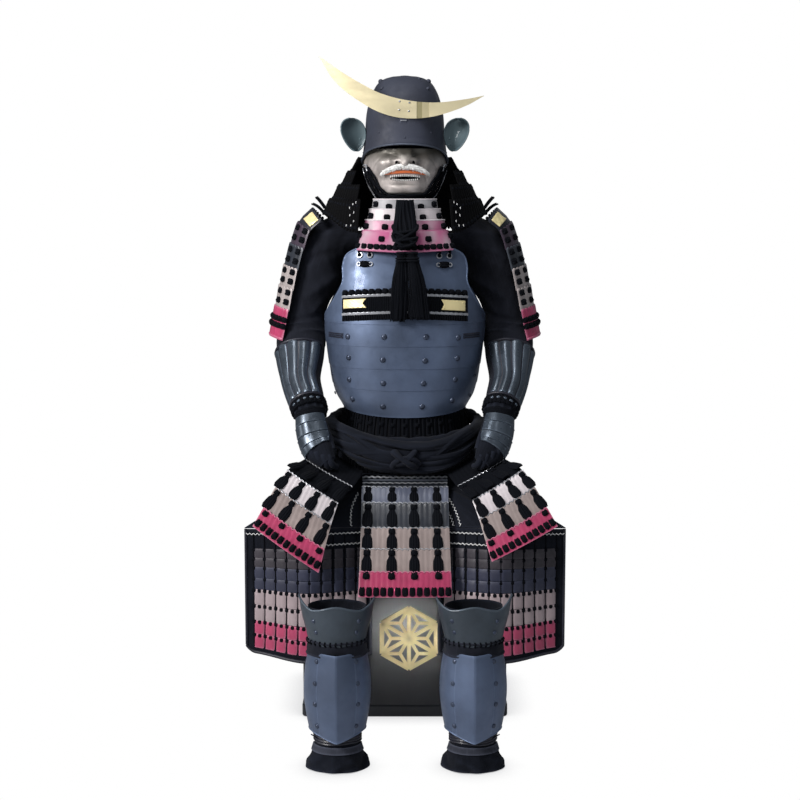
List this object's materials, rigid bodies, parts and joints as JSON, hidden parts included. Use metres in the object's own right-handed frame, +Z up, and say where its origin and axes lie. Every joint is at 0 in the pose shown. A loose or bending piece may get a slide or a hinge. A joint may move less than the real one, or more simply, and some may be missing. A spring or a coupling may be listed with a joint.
{
  "type": "samurai armour on its storage chest and stand",
  "caption": "Full samurai armour with crescent-crested helmet, face mask, steel cuirass and laced panels, set out on its storage chest and a hidden stand.",
  "frame": {"origin": "centre of the chest's underside, on the floor", "axes": "+Z up, -Y to the front that the mask faces, +X to the right as seen from the front"},
  "size_m": [0.7602, 0.854, 1.6175],
  "materials": {
    "lacquer": "black lacquer on wood, satin to gloss, faint brush marks",
    "gold": "gilt metal, softly polished",
    "stand_wood": "dark stained wood",
    "helmet_iron": "blue-black lacquered iron, satin",
    "pale_brass": "pale polished brass",
    "mask_iron": "silver-grey lacquered iron, satin with highlights",
    "hair": "white animal hair",
    "teeth": "silvered",
    "lips": "orange-red lacquer",
    "blued_steel": "blue-grey lacquered steel, satin",
    "bright_steel": "blue-grey polished steel",
    "black_cloth": "dark indigo hemp cloth, plain weave",
    "black_lacing": "close black silk lacing over lames",
    "black_cord": "braided black silk cord",
    "white_lace": "white-lacquered lames, satin",
    "grey_lace": "light grey lacquered lames, satin",
    "beige_lace": "beige-pink lacquered lames, satin",
    "pink_lace": "pink lacquered lames, satin",
    "dark_lame": "dark blue-grey lacquered lames, satin",
    "purple_lace": "purple lacquered lames, satin",
    "leather": "dark smoked leather, matte"
  },
  "bodies": {
    "root": {"chest_body": "lacquer", "chest_lid": "lacquer", "chest_ornament": "gold", "stand_post": "stand_wood", "stand_crossbar": "stand_wood", "stand_head": "stand_wood", "helmet_bowl": "helmet_iron", "crescent": "pale_brass", "helmet_ear_left": "helmet_iron", "helmet_ear_right": "helmet_iron", "neck_lame_1": "black_lacing", "neck_lame_2": "black_lacing", "neck_lame_3": "black_lacing", "neck_lame_4": "black_lacing", "face_mask": "mask_iron", "moustache": "hair", "chin_cord": "black_cord", "throat_lame_1": "grey_lace", "throat_lame_2": "white_lace", "throat_lame_3": "pink_lace", "throat_lame_4": "pink_lace", "chin_knot": "black_cord", "tassel_left": "black_cord", "tassel_right": "black_cord", "cuirass_front": "blued_steel", "cuirass_back": "blued_steel", "chest_band": "black_lacing", "shoulder_strap_left": "black_cloth", "shoulder_strap_right": "black_cloth", "hanging_lacing": "black_lacing", "sash": "black_cloth", "sash_knot": "black_cloth", "skirt_center": "beige_lace", "apron_top": "black_cloth", "apron_left": "dark_lame", "apron_right": "dark_lame", "skirt_front_left": "beige_lace", "skirt_side_left": "dark_lame", "skirt_back_left": "dark_lame", "sleeve_upper_left": "black_cloth", "sleeve_lower_left": "black_cloth", "forearm_splints_left": "bright_steel", "glove_left": "black_cloth", "hand_guard_left": "bright_steel", "shoulder_guard_left": "white_lace", "gaiter_left": "black_cloth", "shin_plate_left": "blued_steel", "knee_plate_left": "blued_steel", "skirt_front_right": "beige_lace", "skirt_side_right": "dark_lame", "skirt_back_right": "dark_lame", "sleeve_upper_right": "black_cloth", "sleeve_lower_right": "black_cloth", "forearm_splints_right": "bright_steel", "glove_right": "black_cloth", "hand_guard_right": "bright_steel", "shoulder_guard_right": "white_lace", "gaiter_right": "black_cloth", "shin_plate_right": "blued_steel", "knee_plate_right": "blued_steel"}
  },
  "joints": []
}
